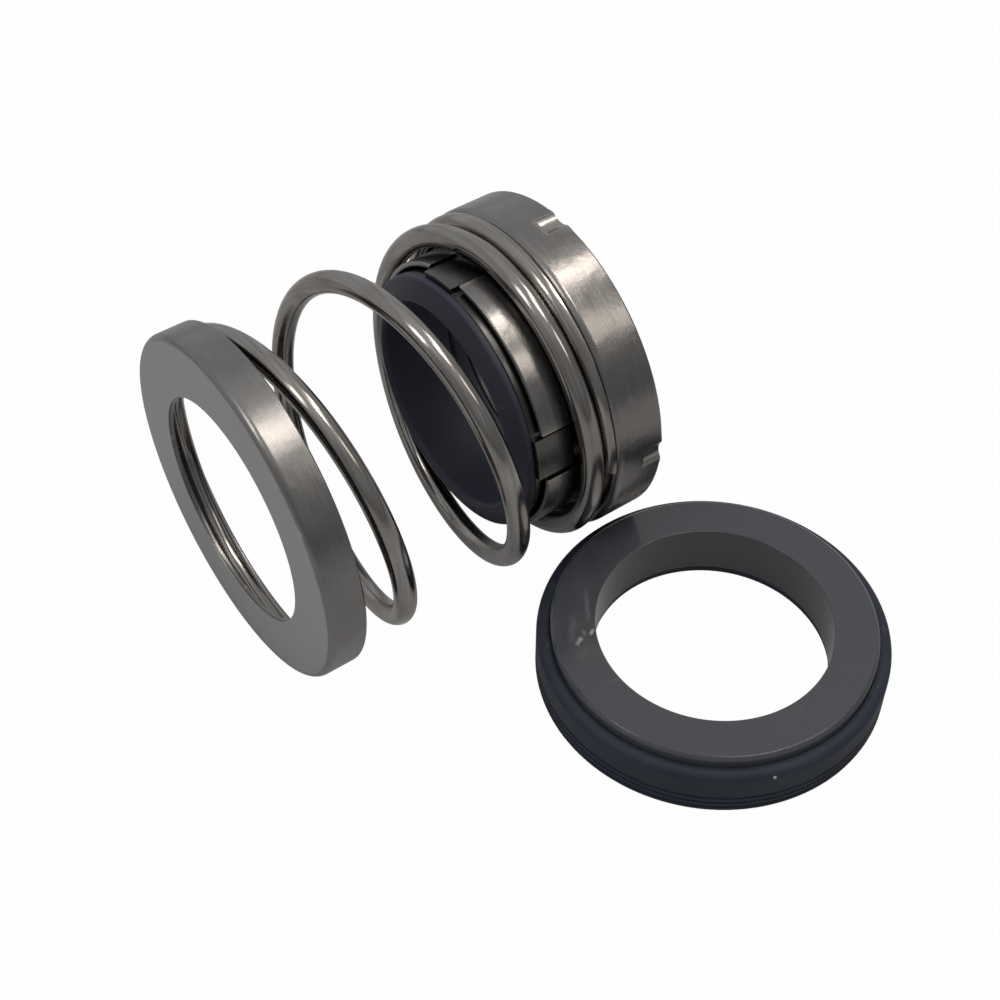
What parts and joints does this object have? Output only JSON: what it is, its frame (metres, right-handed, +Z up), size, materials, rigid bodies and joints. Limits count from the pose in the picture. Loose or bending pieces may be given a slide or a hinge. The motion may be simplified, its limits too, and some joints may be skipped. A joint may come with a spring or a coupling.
{
  "type": "mechanical seal",
  "caption": "Rubber bellows shaft seal: a sprung rotating head with slotted retainer and drive lugs, lying on its side, and its stationary seat ring in a rubber cup.",
  "frame": {"origin": "middle of the bellows' grip on the shaft, on the head's axis", "axes": "+X along the head's axis from the spring holder to the sealing face, +Z up with the set lying on z = -24.5 mm, the seat flat on the same plane at -Y"},
  "size_m": [0.0724, 0.0899, 0.049],
  "materials": {
    "holder_steel": "satin grey face with a bright rounded edge",
    "spring_wire": "smooth drawn wire",
    "retainer_steel": "fine brushed, dark",
    "band_steel": "fine brushed, dark",
    "bellows_rubber": "smooth moulded",
    "ring_ceramic": "lapped",
    "seat_ceramic": "lapped, half gloss",
    "cup_rubber": "smooth moulded"
  },
  "bodies": {
    "head": {"retainer": "retainer_steel", "primary_ring": "ring_ceramic", "seat_ring": "seat_ceramic", "seat_cup": "cup_rubber"},
    "holder": {"spring_holder": "holder_steel", "spring": "spring_wire"},
    "drive": {"drive_band": "band_steel", "bellows": "bellows_rubber"}
  },
  "joints": [
    {"name": "spring_compress", "type": "slide", "parent": "head", "child": "holder", "axis": [1, 0, 0], "range_m": [0, 0.0115], "stiffness_N_per_m": 5000, "deforming": ["spring"]},
    {"name": "drive_slide", "type": "slide", "parent": "head", "child": "drive", "axis": [1, 0, 0], "range_m": [-0.0015, 0.002], "stiffness_N_per_m": 2000, "deforming": ["bellows"]}
  ]
}
